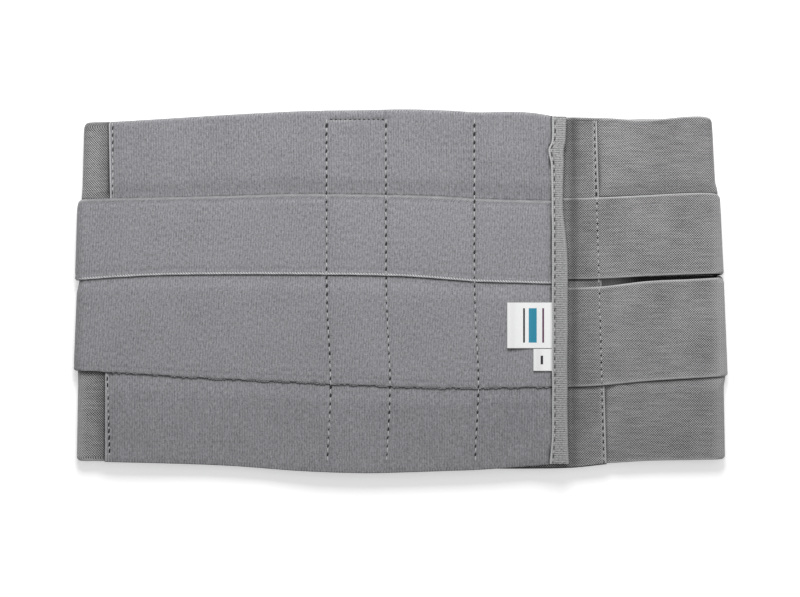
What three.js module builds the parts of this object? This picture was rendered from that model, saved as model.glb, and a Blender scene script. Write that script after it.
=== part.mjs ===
// Abdominal binder: four elastic bands sewn into one wide belt, closed by a plush flap and laid flat.
// X runs along the belt, Y up its height and Z away from the surface that it lies on, in millimetres.
import * as THREE from 'three';
import { mergeVertices } from 'three/addons/utils/BufferGeometryUtils.js';

const { lerp, smoothstep } = THREE.MathUtils;

// Overall size of the closed belt, lying flat
const beltLength = 420;
const beltHeight = 233;

// Walls of the cloths, and the space kept between two layers
const elasticWall = 1.2;
const panelWall = 1.2;
const plushWall = 2.4;
const hookWall = 1.2;
const bindingWall = 1;
const labelWall = 1;
const clearance = 0.3;

// Space for the body between the belt's back and its front
const bodyGap = 5;

// Sewn overlaps and the slopes that lead up to them
const bandOverlap = 4.5;
const overlapSlack = 0.5;
const tuckSlope = 8;
const plushSlope = 4.5;
const underSlope = 2;
const freeEdgeSlope = 3;
const freeEdgeWall = 1.4;
const lapLength = 16;
const lapSlope = 11;
const panelSlope = 10;
const flapRise = 14;
const stitchDent = 0.7;
const dentReach = 5;
const foldSteps = 6;

const halfLength = beltLength / 2;
const halfHeight = beltHeight / 2;

// Places along the belt, from its middle
const plushStart = -0.894 * halfLength;
const elasticUnderPlush = 18;
const tailEnd = -0.714 * halfLength;
const panelStart = -0.29 * halfLength;
const panelMiddleEdge = 0.611 * halfLength;
const panelLean = 0.0157 * halfLength;
const bandStart = 0.463 * halfLength;
const plushEnd = 0.488 * halfLength;
const flapRiseEnd = 0.449 * halfLength;

// Outer faces of the layers, from the surface up
const pitch = elasticWall + clearance;
const frontFloor = pitch + elasticWall + bodyGap;
const lowFront = frontFloor + elasticWall;
const highFront = lowFront + clearance + panelWall;
const seamedFront = highFront + pitch;
const hookSeat = lowFront - elasticWall + panelWall + clearance;
const plushOnElastic = lowFront + clearance;
const plushOnHooks = hookSeat + hookWall + clearance;
const plushInBinding = seamedFront + clearance + bindingWall + clearance;
const tailTop = plushWall + clearance;
const marginWall = (plushWall - clearance) / 2;

// Flap edges from left to right, as shares of half the length and half the height
const flapEdges = [
  { along: -1.00, top: 0.925, upper: 0.505, middle: 0.058, lower: -0.436, bottom: -0.935 },
  { along: -0.86, top: 0.934, upper: 0.511, middle: 0.076, lower: -0.447, bottom: -0.941 },
  { along: -0.72, top: 0.949, upper: 0.516, middle: 0.088, lower: -0.464, bottom: -0.947 },
  { along: -0.52, top: 0.972, upper: 0.525, middle: 0.092, lower: -0.483, bottom: -0.961 },
  { along: -0.31, top: 0.990, upper: 0.535, middle: 0.091, lower: -0.500, bottom: -0.988 },
  { along: -0.11, top: 0.996, upper: 0.531, middle: 0.087, lower: -0.517, bottom: -1.000 },
  { along: 0.02, top: 1.000, upper: 0.527, middle: 0.080, lower: -0.527, bottom: -0.995 },
  { along: 0.15, top: 0.993, upper: 0.518, middle: 0.063, lower: -0.531, bottom: -0.987 },
  { along: 0.23, top: 0.984, upper: 0.508, middle: 0.052, lower: -0.531, bottom: -0.982 },
  { along: 0.38, top: 0.990, upper: 0.500, middle: 0.044, lower: -0.527, bottom: -0.962 },
  { along: 0.50, top: 0.965, upper: 0.494, middle: 0.037, lower: -0.521, bottom: -0.940 },
];

// Elastic band edges on the front, right of the flap, where bands 2 and 3 leave a slit
const elasticEdges = [
  { along: 0.46, top: 0.958, upper: 0.508, slitTop: 0.064, slitBottom: 0.016, lower: -0.531, bottom: -0.965 },
  { along: 0.61, top: 0.955, upper: 0.516, slitTop: 0.068, slitBottom: 0.026, lower: -0.519, bottom: -0.949 },
  { along: 0.75, top: 0.943, upper: 0.528, slitTop: 0.082, slitBottom: 0.055, lower: -0.495, bottom: -0.933 },
  { along: 0.89, top: 0.962, upper: 0.540, slitTop: 0.092, slitBottom: 0.067, lower: -0.479, bottom: -0.928 },
  { along: 1.00, top: 0.955, upper: 0.538, slitTop: 0.098, slitBottom: 0.078, lower: -0.467, bottom: -0.925 },
];
const leftFoldEdges = { top: 0.925, upper: 0.505, slitTop: 0.058, slitBottom: 0.040, lower: -0.436, bottom: -0.935 };

// Underlap panel edges
const panelEdges = [
  { along: -0.29, top: 0.943, bottom: -0.960 },
  { along: 0.24, top: 0.943, bottom: -0.976 },
  { along: 0.51, top: 0.943, bottom: -0.972 },
  { along: 0.63, top: 0.943, bottom: -0.951 },
];

// Left lip and rounded right edge of the end binding, from its lower end to its upper one
const bindingEdges = [
  { up: -0.945, lip: 0.453, edge: 0.512 },
  { up: -0.764, lip: 0.459, edge: 0.508 },
  { up: -0.300, lip: 0.459, edge: 0.508 },
  { up: 0.200, lip: 0.459, edge: 0.507 },
  { up: 0.450, lip: 0.459, edge: 0.496 },
  { up: 0.643, lip: 0.459, edge: 0.498 },
  { up: 0.792, lip: 0.451, edge: 0.499 },
  { up: 0.968, lip: 0.461, edge: 0.505 },
];

// Furthest reach of each band at the folds, at its lower and its upper edge
const foldReach = {
  band1: { left: [-0.975, -0.968], right: [0.964, 0.951] },
  band2: { left: [-0.996, -0.988], right: [0.988, 0.976] },
  band3: { left: [-1.000, -0.988], right: [1.000, 0.988] },
  band4: { left: [-0.991, -0.986], right: [0.992, 0.987] },
};

// Hook tapes on the flap's reverse: their sewn left edges and widths
const hookTapes = [
  { name: 'hook_tape_1', start: -0.222 * halfLength, width: 38 },
  { name: 'hook_tape_2', start: 0.228 * halfLength, width: 45.5 },
];
const hookTop = 0.95 * halfHeight;
const hookBottom = -0.935 * halfHeight;

// Labels caught in the binding: their left edges, and their heights on the flap
const labels = [
  { name: 'woven_label', start: 0.323 * halfLength, top: -0.062 * halfHeight, height: 29.3 },
  { name: 'size_tab', start: 0.403 * halfLength, top: -0.316 * halfHeight, height: 14.2 },
];

// A table's column at one place, on a straight line from row to row
function readTable(rows, key, at, column) {
  const next = rows.findIndex((row) => row[key] >= at);
  if (next === 0) return rows[0][column];
  if (next === -1) return rows[rows.length - 1][column];
  const share = (at - rows[next - 1][key]) / (rows[next][key] - rows[next - 1][key]);
  return lerp(rows[next - 1][column], rows[next][column], share);
}

// A strip of cloth: a box whose stations follow a route and whose columns lie side by side
function strip(name, material, columns, place) {
  const stations = columns[0].length;
  const box = new THREE.BoxGeometry(1, 1, 1, stations - 1, columns.length - 1, 1);
  box.deleteAttribute('normal');
  box.deleteAttribute('uv');
  const geometry = mergeVertices(box);
  const position = geometry.attributes.position;
  for (let i = 0; i < position.count; i += 1) {
    const station = Math.round((position.getX(i) + 0.5) * (stations - 1));
    const column = Math.round((position.getY(i) + 0.5) * (columns.length - 1));
    const { x, y, z } = place(columns[column][station], position.getZ(i) > 0);
    position.setXYZ(i, x, y, z);
  }
  geometry.computeVertexNormals();
  const mesh = new THREE.Mesh(geometry, material);
  mesh.name = name;
  return mesh;
}

// A point of a strip, moved inwards from its outer face
function inwards(point, depth) {
  return { x: point.x - point.outX * depth, y: point.y, z: point.z - point.outZ * depth };
}

// A level or gently sloped stretch of a route; outZ is 1 on the front and -1 on the back
function stretch(places, levelAt, outZ) {
  return places.map((x) => ({ x, z: levelAt(x), outX: 0, outZ, front: outZ > 0 }));
}

// The half turn at a fold, between two faces; side is 1 on the right and -1 on the left
function halfTurn(reach, low, high, side) {
  const radius = (high - low) / 2;
  const points = [];
  for (let step = 1; step < foldSteps; step += 1) {
    const turn = Math.PI * (0.5 - step / foldSteps);
    const outX = side * Math.cos(turn);
    const outZ = side * Math.sin(turn);
    const x = reach - side * radius + radius * outX;
    points.push({ x, z: low + radius + radius * outZ, outX, outZ, front: outZ > 0 });
  }
  return points;
}

// Right edge of the underlap panel, which leans with the seam
function panelEdgeAt(y) {
  return panelMiddleEdge - panelLean * (y / halfHeight);
}

// Height of an elastic band's edge, on the front or on the back, where it runs straight
function elasticEdgeAt(edge, x, front) {
  const rightFoldEdges = elasticEdges[elasticEdges.length - 1];
  if (front && x < 0) return halfHeight * leftFoldEdges[edge];
  if (front) return halfHeight * readTable(elasticEdges, 'along', x / halfLength, edge);
  return halfHeight * lerp(leftFoldEdges[edge], rightFoldEdges[edge], (x + halfLength) / beltLength);
}

// Underside of the flap: on the elastic, sagging, on the hook tapes, then up into its binding
function flapFloor(x) {
  const tapeStart = hookTapes[0].start;
  const sag = 0.22 * bodyGap;
  const sagged = smoothstep(x, -0.8 * halfLength, -0.57 * halfLength)
    - smoothstep(x, panelStart - flapRise * 2, panelStart - flapRise / 2);
  const toHooks = smoothstep(x, panelStart - flapRise, tapeStart);
  const toBinding = smoothstep(x, flapRiseEnd - flapRise, flapRiseEnd);
  return plushOnElastic - sag * sagged
    + (plushOnHooks - plushOnElastic) * toHooks
    + (plushInBinding - plushOnHooks) * toBinding;
}

// Outer bands 1 and 4 carry a margin that is tucked under bands 2 and 3, one layer further in
function outerBandRoute(lane) {
  const tuck = lane.tucked ? 1 : 0;
  const seamY = elasticEdgeAt(lane.edge, panelMiddleEdge, true);
  const rampStart = panelEdgeAt(seamY) + clearance;
  const frontLevel = (x) => lerp(lowFront, highFront, (1 - tuck) * smoothstep(x, rampStart, rampStart + tuckSlope));
  const elasticEnd = tailEnd - lapLength;
  const lapHead = tailEnd + clearance;
  const overLap = tailTop + pitch;
  const backLevel = (x) => tuck * (pitch
    + (overLap - pitch) * (1 - smoothstep(x, lapHead, lapHead + lapSlope))
    - (overLap - tailTop) * (1 - smoothstep(x, elasticEnd - clearance - tuckSlope, elasticEnd - clearance)));
  const right = lane.rightReach;
  const left = lane.leftReach;
  const rightRadius = (frontLevel(right) - tuck * pitch) / 2;
  const leftLow = tuck * tailTop;
  const leftRadius = (lowFront - leftLow) / 2;
  const backPlaces = [right - rightRadius, 0.55 * halfLength, 0.1 * halfLength, -0.35 * halfLength,
    lapHead + lapSlope, lapHead + lapSlope / 2, lapHead, elasticEnd - clearance,
    elasticEnd - clearance - tuckSlope, left + leftRadius];
  return [
    ...stretch([bandStart, rampStart, rampStart + tuckSlope / 2, rampStart + tuckSlope, 0.75 * halfLength,
      0.89 * halfLength, right - rightRadius], frontLevel, 1),
    ...halfTurn(right, tuck * pitch, frontLevel(right), 1),
    ...stretch(backPlaces, backLevel, -1),
    ...halfTurn(left, leftLow, lowFront, -1),
    ...stretch([left + leftRadius, plushStart, plushStart + elasticUnderPlush], () => lowFront, 1),
  ];
}

// Middle bands 2 and 3 lie over the panel left of the seam and end in a lap over the plush tails
function middleBandRoute(lane) {
  const seamY = elasticEdgeAt(lane.edge, panelMiddleEdge, true);
  const rampStart = panelEdgeAt(seamY) + clearance;
  const frontLevel = (x) => lerp(seamedFront, highFront, smoothstep(x, rampStart, rampStart + tuckSlope));
  const lapHead = tailEnd + clearance;
  const backLevel = (x) => tailTop * (1 - smoothstep(x, lapHead, lapHead + lapSlope));
  const right = lane.rightReach;
  const radius = highFront / 2;
  return [
    ...stretch([bandStart, rampStart, rampStart + tuckSlope / 2, rampStart + tuckSlope, 0.75 * halfLength,
      0.89 * halfLength, right - radius], frontLevel, 1),
    ...halfTurn(right, 0, highFront, 1),
    ...stretch([right - radius, 0.55 * halfLength, 0.1 * halfLength, -0.35 * halfLength,
      lapHead + lapSlope, lapHead + lapSlope / 2, lapHead, tailEnd - lapLength], backLevel, -1),
  ];
}

// An elastic band: each lane names the edge that it follows and how far it stands off from it
function elasticBand(name, material, lanes, route) {
  const columns = lanes.map((lane) => route(lane).map((point) => (
    { ...point, y: elasticEdgeAt(lane.edge, point.x, point.front) + lane.offset })));
  return strip(name, material, columns, (point, outer) => inwards(point, outer ? 0 : elasticWall));
}

// Lanes of an outer band, from its lower edge up; side is 1 for band 1, above, and -1 for band 4, below
function outerBandLanes(side, seam, rim, reach, neighbour) {
  const inner = side > 0 ? 0 : 1;
  const outer = 1 - inner;
  const tuckedReach = {
    rightReach: halfLength * neighbour.right[outer] - pitch,
    leftReach: halfLength * neighbour.left[outer] + tailTop,
  };
  const lanes = [
    { edge: seam, offset: -side * bandOverlap, tucked: true, ...tuckedReach },
    { edge: seam, offset: side * overlapSlack, tucked: true, ...tuckedReach },
    { edge: seam, offset: side * (overlapSlack + tuckSlope), tucked: false,
      rightReach: halfLength * reach.right[inner], leftReach: halfLength * reach.left[inner] },
    { edge: rim, offset: 0, tucked: false,
      rightReach: halfLength * reach.right[outer], leftReach: halfLength * reach.left[outer] },
  ];
  return side > 0 ? lanes : lanes.reverse();
}

// Lanes of a middle band, from its lower edge up
function middleBandLanes(lowerEdge, upperEdge, reach) {
  return [
    { edge: lowerEdge, offset: 0, rightReach: halfLength * reach.right[0] },
    { edge: upperEdge, offset: 0, rightReach: halfLength * reach.right[1] },
  ];
}

// How far a stitch line of a hook tape draws the plush in
function dentAt(x) {
  const lines = [hookTapes[0].start, hookTapes[0].start + hookTapes[0].width, hookTapes[1].start];
  const nearest = Math.min(...lines.map((line) => Math.abs(x - line)));
  return stitchDent * (1 - smoothstep(nearest, 0, dentReach));
}

// A plush band of the flap, whose lanes give the low and high side of its wall above the flap's floor
function plushBand(name, material, lanes, wrapsFold) {
  const dentLines = [hookTapes[0].start, hookTapes[0].start + hookTapes[0].width, hookTapes[1].start];
  const places = [-0.86, -0.8, -0.72, -0.57, -0.43, -0.36, -0.3, -0.13, 0.04, 0.1, 0.15, 0.32, 0.38]
    .map((share) => share * halfLength)
    .concat(dentLines.flatMap((line) => [line - dentReach, line, line + dentReach]))
    .concat([flapRiseEnd - flapRise / 2, flapRiseEnd, plushEnd])
    .sort((a, b) => a - b);
  const faceAt = (x) => flapFloor(x) + plushWall;
  const foldTop = faceAt(-halfLength);
  const radius = foldTop / 2;
  const columns = lanes.map((lane) => {
    const start = wrapsFold
      ? [...stretch([tailEnd, (tailEnd + lane.reach + radius) / 2, lane.reach + radius], () => 0, -1),
        ...halfTurn(lane.reach, 0, foldTop, -1),
        ...stretch([lane.reach + radius], faceAt, 1)]
      : stretch([plushStart], faceAt, 1);
    return [...start, ...stretch(places, faceAt, 1)].map((point) => {
      const edge = readTable(flapEdges, 'along', point.front ? point.x / halfLength : -1, lane.edge);
      return { ...point, y: halfHeight * edge + lane.offset, low: lane.low, high: lane.high };
    });
  });
  return strip(name, material, columns, (point, outer) => {
    const dent = point.front && point.high === plushWall ? dentAt(point.x) : 0;
    return inwards(point, plushWall - (outer ? point.high - dent : point.low));
  });
}

// Lanes of a plush edge that lies under its neighbour, over it, or free; inner is the way into the band
const underEdge = (edge, inner) => [
  { edge, offset: -inner * bandOverlap, low: 0, high: marginWall },
  { edge, offset: inner * overlapSlack, low: 0, high: marginWall },
  { edge, offset: inner * (overlapSlack + plushSlope), low: 0, high: plushWall },
];
const overEdge = (edge, inner) => [
  { edge, offset: 0, low: plushWall - marginWall, high: plushWall },
  { edge, offset: inner * (bandOverlap + overlapSlack), low: plushWall - marginWall, high: plushWall },
  { edge, offset: inner * (bandOverlap + overlapSlack + underSlope), low: 0, high: plushWall },
];
const freeEdge = (edge, inner) => [
  { edge, offset: 0, low: 0, high: freeEdgeWall },
  { edge, offset: inner * freeEdgeSlope, low: 0, high: plushWall },
];

// Lanes from a band's lower edge up, with the reach of its fold at each
function plushLanes(lowerLanes, upperLanes, reach) {
  const withReach = (lanes, share) => lanes.map((lane) => ({ ...lane, reach: halfLength * share }));
  return [...withReach(lowerLanes, reach.left[0]), ...withReach(upperLanes, reach.left[1]).reverse()];
}

// Full-height elastic panel that the closed flap lies on; it steps up onto the ends of bands 1 and 4
function underlapPanel(name, material) {
  const stepEnd = bandStart - clearance;
  const restLevel = frontFloor + panelWall;
  const level = (x) => lerp(restLevel, highFront, smoothstep(x, stepEnd - panelSlope, stepEnd));
  const columns = ['bottom', 'top'].map((edge) => {
    const rim = panelEdgeAt(halfHeight * readTable(panelEdges, 'along', 1, edge));
    const places = [panelStart, 0, 0.24 * halfLength, stepEnd - panelSlope, stepEnd - panelSlope / 2, stepEnd,
      0.51 * halfLength, rim];
    return stretch(places, level, 1).map((point) => (
      { ...point, y: halfHeight * readTable(panelEdges, 'along', point.x / halfLength, edge) }));
  });
  return strip(name, material, columns, (point, outer) => inwards(point, outer ? 0 : panelWall));
}

// A flat piece that follows the flap, at a height above the flap's floor
function onFlap(name, material, rows, wall, heightAbove) {
  const columns = rows.map(({ y, places }) => stretch(places, (x) => flapFloor(x) + heightAbove + wall, 1)
    .map((point) => ({ ...point, y })));
  return strip(name, material, columns, (point, outer) => inwards(point, outer ? 0 : wall));
}

// Places along a flat piece, from its left edge to its right one
function spread(start, end, count) {
  return Array.from({ length: count + 1 }, (_, step) => lerp(start, end, step / count));
}

// Ribbed tape folded over the flap's cut end, with an upper and a lower leaf
function endBinding(name, material) {
  const low = plushInBinding - clearance - bindingWall;
  const high = plushInBinding + plushWall + clearance + bindingWall;
  const radius = (high - low) / 2;
  const columns = bindingEdges.map((row) => {
    const lip = row.lip * halfLength;
    const edge = row.edge * halfLength;
    return [
      ...stretch([lip, edge - radius], () => high, 1),
      ...halfTurn(edge, low, high, 1),
      ...stretch([edge - radius, lip], () => low, -1),
    ].map((point) => ({ ...point, y: row.up * halfHeight }));
  });
  return strip(name, material, columns, (point, outer) => inwards(point, outer ? 0 : bindingWall));
}

const elasticGrey = () => new THREE.MeshStandardMaterial({ color: 0x868588, roughness: 0.85, metalness: 0 });
const plushGrey = () => new THREE.MeshStandardMaterial({ color: 0x8b8a8f, roughness: 0.95, metalness: 0 });
const hookGrey = () => new THREE.MeshStandardMaterial({ color: 0x77777a, roughness: 0.7, metalness: 0 });
const bindingGrey = () => new THREE.MeshStandardMaterial({ color: 0x939393, roughness: 0.8, metalness: 0 });
const labelWhite = () => new THREE.MeshStandardMaterial({ color: 0xe4e5e5, roughness: 0.5, metalness: 0 });

const { band1, band2, band3, band4 } = foldReach;
const binder = new THREE.Group();

binder.add(
  elasticBand('elastic_band_1', elasticGrey(), outerBandLanes(1, 'upper', 'top', band1, band2), outerBandRoute),
  elasticBand('elastic_band_2', elasticGrey(), middleBandLanes('slitTop', 'upper', band2), middleBandRoute),
  elasticBand('elastic_band_3', elasticGrey(), middleBandLanes('lower', 'slitBottom', band3), middleBandRoute),
  elasticBand('elastic_band_4', elasticGrey(), outerBandLanes(-1, 'lower', 'bottom', band4, band3), outerBandRoute),
  underlapPanel('underlap_panel', elasticGrey()),
  plushBand('plush_band_1', plushGrey(),
    plushLanes(underEdge('upper', 1), freeEdge('top', -1), band1), false),
  plushBand('plush_band_2', plushGrey(),
    plushLanes(overEdge('middle', 1), overEdge('upper', -1), band2), true),
  plushBand('plush_band_3', plushGrey(),
    plushLanes(overEdge('lower', 1), underEdge('middle', -1), band3), true),
  plushBand('plush_band_4', plushGrey(),
    plushLanes(freeEdge('bottom', 1), underEdge('lower', -1), band4), false),
  endBinding('end_binding', bindingGrey()),
);

for (const tape of hookTapes) {
  const places = spread(tape.start, tape.start + tape.width, 8);
  const rows = [{ y: hookBottom, places }, { y: hookTop, places }];
  binder.add(onFlap(tape.name, hookGrey(), rows, hookWall, -clearance - hookWall));
}

for (const label of labels) {
  const rows = [label.top - label.height, label.top].map((y) => {
    const lip = halfLength * readTable(bindingEdges, 'up', y / halfHeight, 'lip');
    return { y, places: spread(label.start, lip - clearance, 6) };
  });
  binder.add(onFlap(label.name, labelWhite(), rows, labelWall, plushWall + clearance));
}

export default binder;
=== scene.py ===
import math
from bisect import bisect_left

import bmesh
import bpy
from mathutils import Matrix, Vector, noise


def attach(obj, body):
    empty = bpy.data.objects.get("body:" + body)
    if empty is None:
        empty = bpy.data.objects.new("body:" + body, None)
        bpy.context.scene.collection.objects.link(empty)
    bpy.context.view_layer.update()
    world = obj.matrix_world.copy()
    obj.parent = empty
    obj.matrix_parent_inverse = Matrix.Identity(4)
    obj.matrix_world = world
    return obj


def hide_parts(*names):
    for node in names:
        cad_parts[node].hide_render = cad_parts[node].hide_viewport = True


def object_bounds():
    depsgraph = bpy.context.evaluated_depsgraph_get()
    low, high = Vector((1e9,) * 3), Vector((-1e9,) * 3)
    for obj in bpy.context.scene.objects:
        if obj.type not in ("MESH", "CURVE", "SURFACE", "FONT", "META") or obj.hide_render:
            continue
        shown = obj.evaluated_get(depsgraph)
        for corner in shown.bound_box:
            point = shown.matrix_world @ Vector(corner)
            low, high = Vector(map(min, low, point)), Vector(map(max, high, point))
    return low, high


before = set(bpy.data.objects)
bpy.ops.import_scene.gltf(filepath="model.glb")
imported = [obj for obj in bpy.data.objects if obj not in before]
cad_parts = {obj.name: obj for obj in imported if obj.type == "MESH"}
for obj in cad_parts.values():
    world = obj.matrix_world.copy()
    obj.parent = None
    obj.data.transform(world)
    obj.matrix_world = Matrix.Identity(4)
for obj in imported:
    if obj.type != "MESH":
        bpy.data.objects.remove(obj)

# Elastic bands
# Four woven elastic bands make the belt's body. Their ends are sewn over the underlap panel, and they
# run round the right fold and along the back. Bands 1 and 4 also turn the left fold and end under the
# flap; bands 2 and 3 lap over the flap's plush tails. Bands 2 and 3 lie over the margins of 1 and 4.
MM = 0.001
cad_low, cad_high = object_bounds()
half_length = (cad_high[0] - cad_low[0]) / 2
half_height = 0.1165

elastic_wall = 1.2 * MM
panel_wall = 1.2 * MM
plush_wall = 2.4 * MM
hook_wall = 1.2 * MM
binding_wall = 1.0 * MM
clearance = 0.3 * MM
body_gap = 5.0 * MM

band_overlap = 4.5 * MM
tuck_slack = 0.5 * MM
tuck_slope = 8.0 * MM
lap_length = 16.0 * MM
lap_slope = 11.0 * MM
upper_corner = 4.0 * MM
lower_corner = 1.8 * MM
bottom_corner = 3.0 * MM

pitch = elastic_wall + clearance
front_floor = pitch + elastic_wall + body_gap
low_front = front_floor + elastic_wall
high_front = low_front + clearance + panel_wall
seamed_front = high_front + pitch
tail_top = plush_wall + clearance

plush_start = -0.890 * half_length
early_start = 2.6 * MM
tail_end = -0.714 * half_length
band_start = 0.463 * half_length
panel_start = -0.29 * half_length
seam_x = 0.611 * half_length


def table(columns, *rows):
    """The rows as records with those named columns."""
    return [dict(zip(columns.split(), row)) for row in rows]


# edges of the flap, the webbing and the panel, in shares of the belt's half length and half height
flap_edges = table(
    "along top upper middle lower bottom",
    (-1.00, 0.925, 0.505, 0.058, -0.436, -0.935),
    (-0.86, 0.934, 0.511, 0.076, -0.447, -0.941),
    (-0.72, 0.949, 0.516, 0.088, -0.464, -0.947),
    (-0.52, 0.972, 0.525, 0.092, -0.483, -0.961),
    (-0.31, 0.990, 0.535, 0.091, -0.500, -0.988),
    (-0.11, 0.996, 0.531, 0.087, -0.517, -1.000),
    (0.02, 1.000, 0.527, 0.080, -0.527, -0.995),
    (0.15, 0.993, 0.518, 0.063, -0.531, -0.987),
    (0.23, 0.984, 0.508, 0.052, -0.531, -0.982),
    (0.38, 0.984, 0.500, 0.044, -0.527, -0.962),
    (0.50, 0.948, 0.494, 0.037, -0.521, -0.940))
elastic_edges = table(
    "along top upper slit_top slit_bottom lower bottom",
    (0.46, 0.958, 0.508, 0.064, 0.016, -0.531, -0.965),
    (0.61, 0.955, 0.516, 0.068, 0.026, -0.519, -0.949),
    (0.75, 0.943, 0.528, 0.082, 0.055, -0.495, -0.933),
    (0.89, 0.962, 0.540, 0.092, 0.067, -0.479, -0.928),
    (1.00, 0.955, 0.538, 0.098, 0.078, -0.467, -0.925))
left_fold_edges = {"top": 0.932, "upper": 0.505, "slit_top": 0.058, "slit_bottom": 0.040,
                   "lower": -0.436, "bottom": -0.935}
panel_edges = table(
    "along top bottom",
    (-0.29, 0.943, -0.960),
    (0.24, 0.943, -0.976),
    (0.51, 0.943, -0.972),
    (0.63, 0.943, -0.951))
# how far each band's folds reach at its lower and its upper selvedge
fold_reach = {
    1: {"left": (-0.975, -0.968), "right": (0.964, 0.951)},
    2: {"left": (-0.996, -0.988), "right": (0.988, 0.976)},
    3: {"left": (-1.000, -0.988), "right": (1.000, 0.988)},
    4: {"left": (-0.991, -0.986), "right": (0.992, 0.987)},
}
# distances from a selvedge, in metres, where a cloth's mesh is fine enough to round it
fine_rim = [step * MM for step in (0.0, 0.06, 0.2, 0.42, 0.7, 1.1, 1.7, 2.6, 3.6, 4.4, 4.9, 5.4, 6.0, 6.8)]


def lerp(low, high, share):
    return low + (high - low) * share


def ease(value, low, high):
    """0 before low and 1 after high, with a smooth rise between them."""
    share = min(1.0, max(0.0, (value - low) / (high - low)))
    return share * share * (3 - 2 * share)


def fade(distance, low, high):
    """1 up to low millimetres and 0 from high millimetres on, with a smooth fall between them."""
    return 1 - ease(distance, low * MM, high * MM)


def ridge(distance, middle, width):
    """1 at middle millimetres, and falling to nothing within about twice the width on both sides."""
    return math.exp(-((distance - middle * MM) / (width * MM)) ** 2)


def smooth_table(rows, key, at, column):
    """A column's value at one place, on a smooth curve through the table's rows."""
    places = [row[key] for row in rows]
    values = [row[column] for row in rows]
    if at <= places[0]:
        return values[0]
    if at >= places[-1]:
        return values[-1]
    high = bisect_left(places, at)
    low = high - 1
    span = places[high] - places[low]
    share = (at - places[low]) / span

    def slope(index):
        before, after = max(index - 1, 0), min(index + 1, len(rows) - 1)
        return (values[after] - values[before]) / (places[after] - places[before]) * span

    square, cube = share ** 2, share ** 3
    return ((2 * cube - 3 * square + 1) * values[low] + (cube - 2 * square + share) * slope(low)
            + (3 * square - 2 * cube) * values[high] + (cube - square) * slope(high))


def point_at(x, z, out):
    """One point along a cloth, with the direction in x and z that its outer face looks in."""
    return {"x": x, "z": z, "out": out, "front": out[1] > 0}


def stretch(start, end, steps, level_at, side):
    """Points of a nearly level run; side is 1 where the outer face looks up and -1 where it looks down."""
    places = [lerp(start, end, step / steps) for step in range(steps + 1)]
    return [point_at(x, level_at(x), (0.0, side)) for x in places]


def half_turn(reach, low, high, side, steps):
    """Points of the fold between two faces, without its ends; side is 1 on the right and -1 on the left."""
    radius = (high - low) / 2
    points = []
    for step in range(1, steps):
        turn = math.pi * (0.5 - step / steps)
        out = (side * math.cos(turn), side * math.sin(turn))
        points.append(point_at(reach + radius * (out[0] - side), low + radius * (1 + out[1]), out))
    return points


def across_shares(width, fine, count):
    """Shares across a cloth, close together at both selvedges and even between them."""
    rim = [step / width for step in fine]
    inner = [lerp(rim[-1], 1 - rim[-1], step / count) for step in range(1, count)]
    return rim + inner + [1 - share for share in reversed(rim)]


def distance_between(one, other):
    return math.dist((one["x"], one["z"]), (other["x"], other["z"]))


def add_object(name, data):
    piece = bpy.data.objects.new(name, data)
    bpy.context.scene.collection.objects.link(piece)
    return piece


def cloth_sheet(name, lanes, faces_at, tones_at):
    """A closed sheet of cloth. Each lane is one line of points along it, from one selvedge to the other.

    faces_at(point) gives how far the outer and the inner face lie in from the lane. tones_at(point,
    outside) gives how pale and how dark the cloth is painted, from 0 to 1: pale for bare selvedges
    and painted highlights, dark mostly for painted shade in creases, gaps and recesses."""
    along, across = len(lanes[0]) - 1, len(lanes) - 1
    for lane in lanes:
        run = 0.0
        for before, point in zip([lane[0]] + lane, lane):
            run += distance_between(before, point)
            point["run"] = run
    sheet = bmesh.new()
    weave = sheet.loops.layers.uv.new("weave")
    pale, dark = sheet.verts.layers.float.new("pale"), sheet.verts.layers.float.new("dark")
    bmesh.ops.create_grid(sheet, x_segments=along, y_segments=across, size=0.5)
    grown = bmesh.ops.extrude_face_region(sheet, geom=sheet.faces[:])
    outer_side = {item for item in grown["geom"] if isinstance(item, bmesh.types.BMVert)}
    points = {}
    for vertex in sheet.verts:
        step = round((vertex.co.x + 0.5) * along)
        column = round((vertex.co.y + 0.5) * across)
        points[vertex] = lanes[column][step]
    for face in sheet.faces:
        face.smooth = True
        for loop in face.loops:
            point = points[loop.vert]
            loop[weave].uv = (point["run"], point["y"])
    for vertex, point in points.items():
        outer, inner = faces_at(point)
        outside = vertex in outer_side
        vertex[pale], vertex[dark] = tones_at(point, outside)
        depth = outer if outside else inner
        out_x, out_z = point["out"]
        vertex.co = (point["x"] - out_x * depth, point["y"], point["z"] - out_z * depth)
    bmesh.ops.recalc_face_normals(sheet, faces=sheet.faces[:])
    mesh = bpy.data.meshes.new(name)
    sheet.to_mesh(mesh)
    sheet.free()
    return add_object(name, mesh)


def nearest_side(point):
    return min(point["low_side"], point["high_side"], point["end_side"])


def rounded_wall(distance, wall):
    """How far a cloth's two faces lie in from its outer one, rounded off at a selvedge that near."""
    radius = wall / 2
    share = min(1.0, distance / radius)
    half = radius * max(0.06, math.sqrt(1 - (1 - share) ** 2))
    return radius - half, radius + half


def crease_tone(past):
    """Painted shade on a cloth at that distance past a neighbour's selvedge that lies over it."""
    return max(0.75 * fade(past, 0.3, 1.3), 0.12 * fade(past, 0.5, 5))


def panel_edge_at(y):
    return 0.6135 * half_length - 0.0157 * half_length * (y / half_height)


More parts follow.
